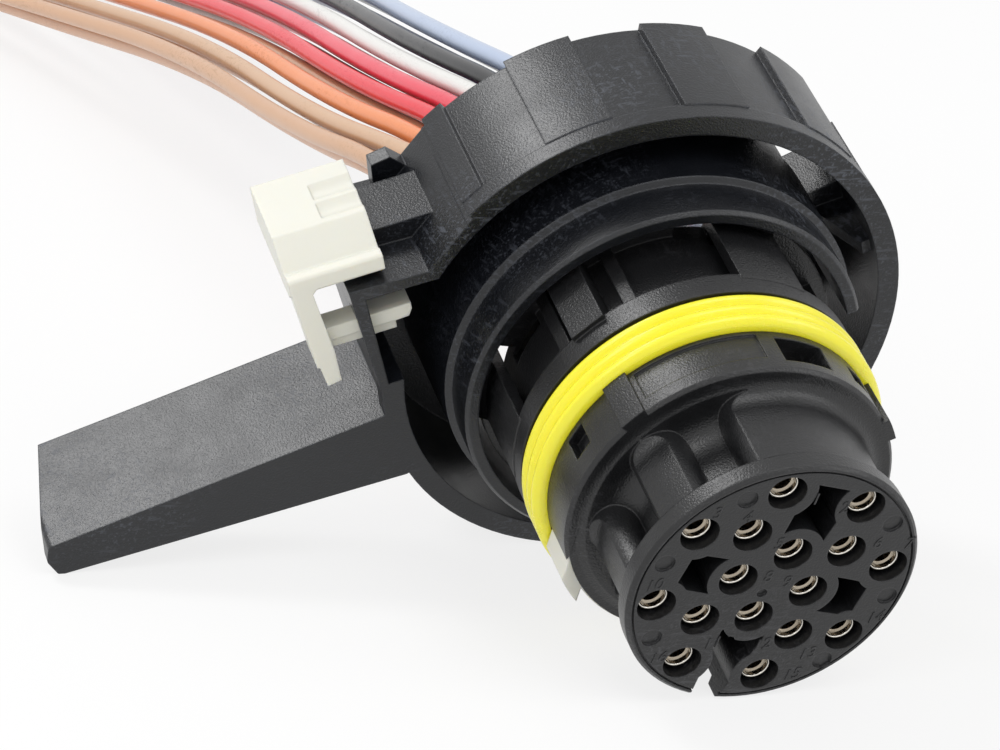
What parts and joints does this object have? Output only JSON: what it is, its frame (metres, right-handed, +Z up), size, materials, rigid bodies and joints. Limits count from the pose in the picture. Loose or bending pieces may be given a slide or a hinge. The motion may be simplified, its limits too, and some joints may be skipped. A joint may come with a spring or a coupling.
{
  "type": "connector pigtail",
  "caption": "Round multi-way plug with a bayonet collar, side lever and slide lock, on a pigtail of loose coloured wires that ends in plain cut ends.",
  "frame": {"origin": "centre of the contact face, on the mating axis", "axes": "+X to the right seen from in front of the nose, +Y away from the viewer towards the wires, +Z up from the table the part lies on; the nose points towards -Y and 19.06 degrees down"},
  "size_m": [0.0889, 0.3142, 0.0508],
  "materials": {
    "body_plastic": "fine moulded satin black",
    "collar_plastic": "fine moulded satin black",
    "lock_plastic": "smooth ivory moulding",
    "seal_rubber": "soft oiled silicone",
    "contact_metal": "tin-plated copper alloy",
    "wire_01_insulation": "thin-wall insulation, white",
    "wire_02_insulation": "thin-wall insulation, pale blue-grey",
    "wire_03_insulation": "thin-wall insulation, pale tan",
    "wire_04_insulation": "thin-wall insulation, red",
    "wire_05_insulation": "thin-wall insulation, rose red",
    "wire_06_insulation": "thin-wall insulation, black",
    "wire_07_insulation": "thin-wall insulation, grey",
    "wire_08_insulation": "thin-wall insulation, orange",
    "wire_09_insulation": "thin-wall insulation, violet",
    "wire_10_insulation": "thin-wall insulation, grey-beige",
    "wire_11_insulation": "thin-wall insulation, maroon",
    "wire_12_insulation": "thin-wall insulation, brown",
    "wire_13_insulation": "thin-wall insulation, signal red",
    "wire_14_insulation": "thin-wall insulation, dark blue",
    "wire_15_insulation": "thin-wall insulation, tan",
    "wire_16_insulation": "thin-wall insulation, peach"
  },
  "bodies": {
    "connector": {"connector_body": "body_plastic", "ring_seal": "seal_rubber", "mat_seal": "seal_rubber", "seal_retainer": "lock_plastic", "contact_01": "contact_metal", "contact_02": "contact_metal", "contact_03": "contact_metal", "contact_04": "contact_metal", "contact_05": "contact_metal", "contact_06": "contact_metal", "contact_07": "contact_metal", "contact_08": "contact_metal", "contact_09": "contact_metal", "contact_10": "contact_metal", "contact_11": "contact_metal", "contact_12": "contact_metal", "contact_13": "contact_metal", "contact_14": "contact_metal", "contact_15": "contact_metal", "contact_16": "contact_metal", "wire_01": "wire_01_insulation", "wire_02": "wire_02_insulation", "wire_03": "wire_03_insulation", "wire_04": "wire_04_insulation", "wire_05": "wire_05_insulation", "wire_06": "wire_06_insulation", "wire_07": "wire_07_insulation", "wire_08": "wire_08_insulation", "wire_09": "wire_09_insulation", "wire_10": "wire_10_insulation", "wire_11": "wire_11_insulation", "wire_12": "wire_12_insulation", "wire_13": "wire_13_insulation", "wire_14": "wire_14_insulation", "wire_15": "wire_15_insulation", "wire_16": "wire_16_insulation"},
    "collar": {"locking_collar": "collar_plastic"},
    "lock": {"slide_lock": "lock_plastic"},
    "terminal_plate": {"terminal_lock": "lock_plastic"}
  },
  "joints": [
    {"name": "collar_turn", "type": "hinge", "parent": "connector", "child": "collar", "pos_m": [0, 0, 0], "axis": [0, -0.9452, -0.3265], "range_deg": [-60, 0]},
    {"name": "slide_lock_slide", "type": "slide", "parent": "collar", "child": "lock", "axis": [0.9432, -0.1085, 0.314], "range_m": [0, 0.0016]},
    {"name": "terminal_lock_slide", "type": "slide", "parent": "connector", "child": "terminal_plate", "axis": [0.0523, -0.3261, 0.9439], "range_m": [0, 0.001]}
  ]
}
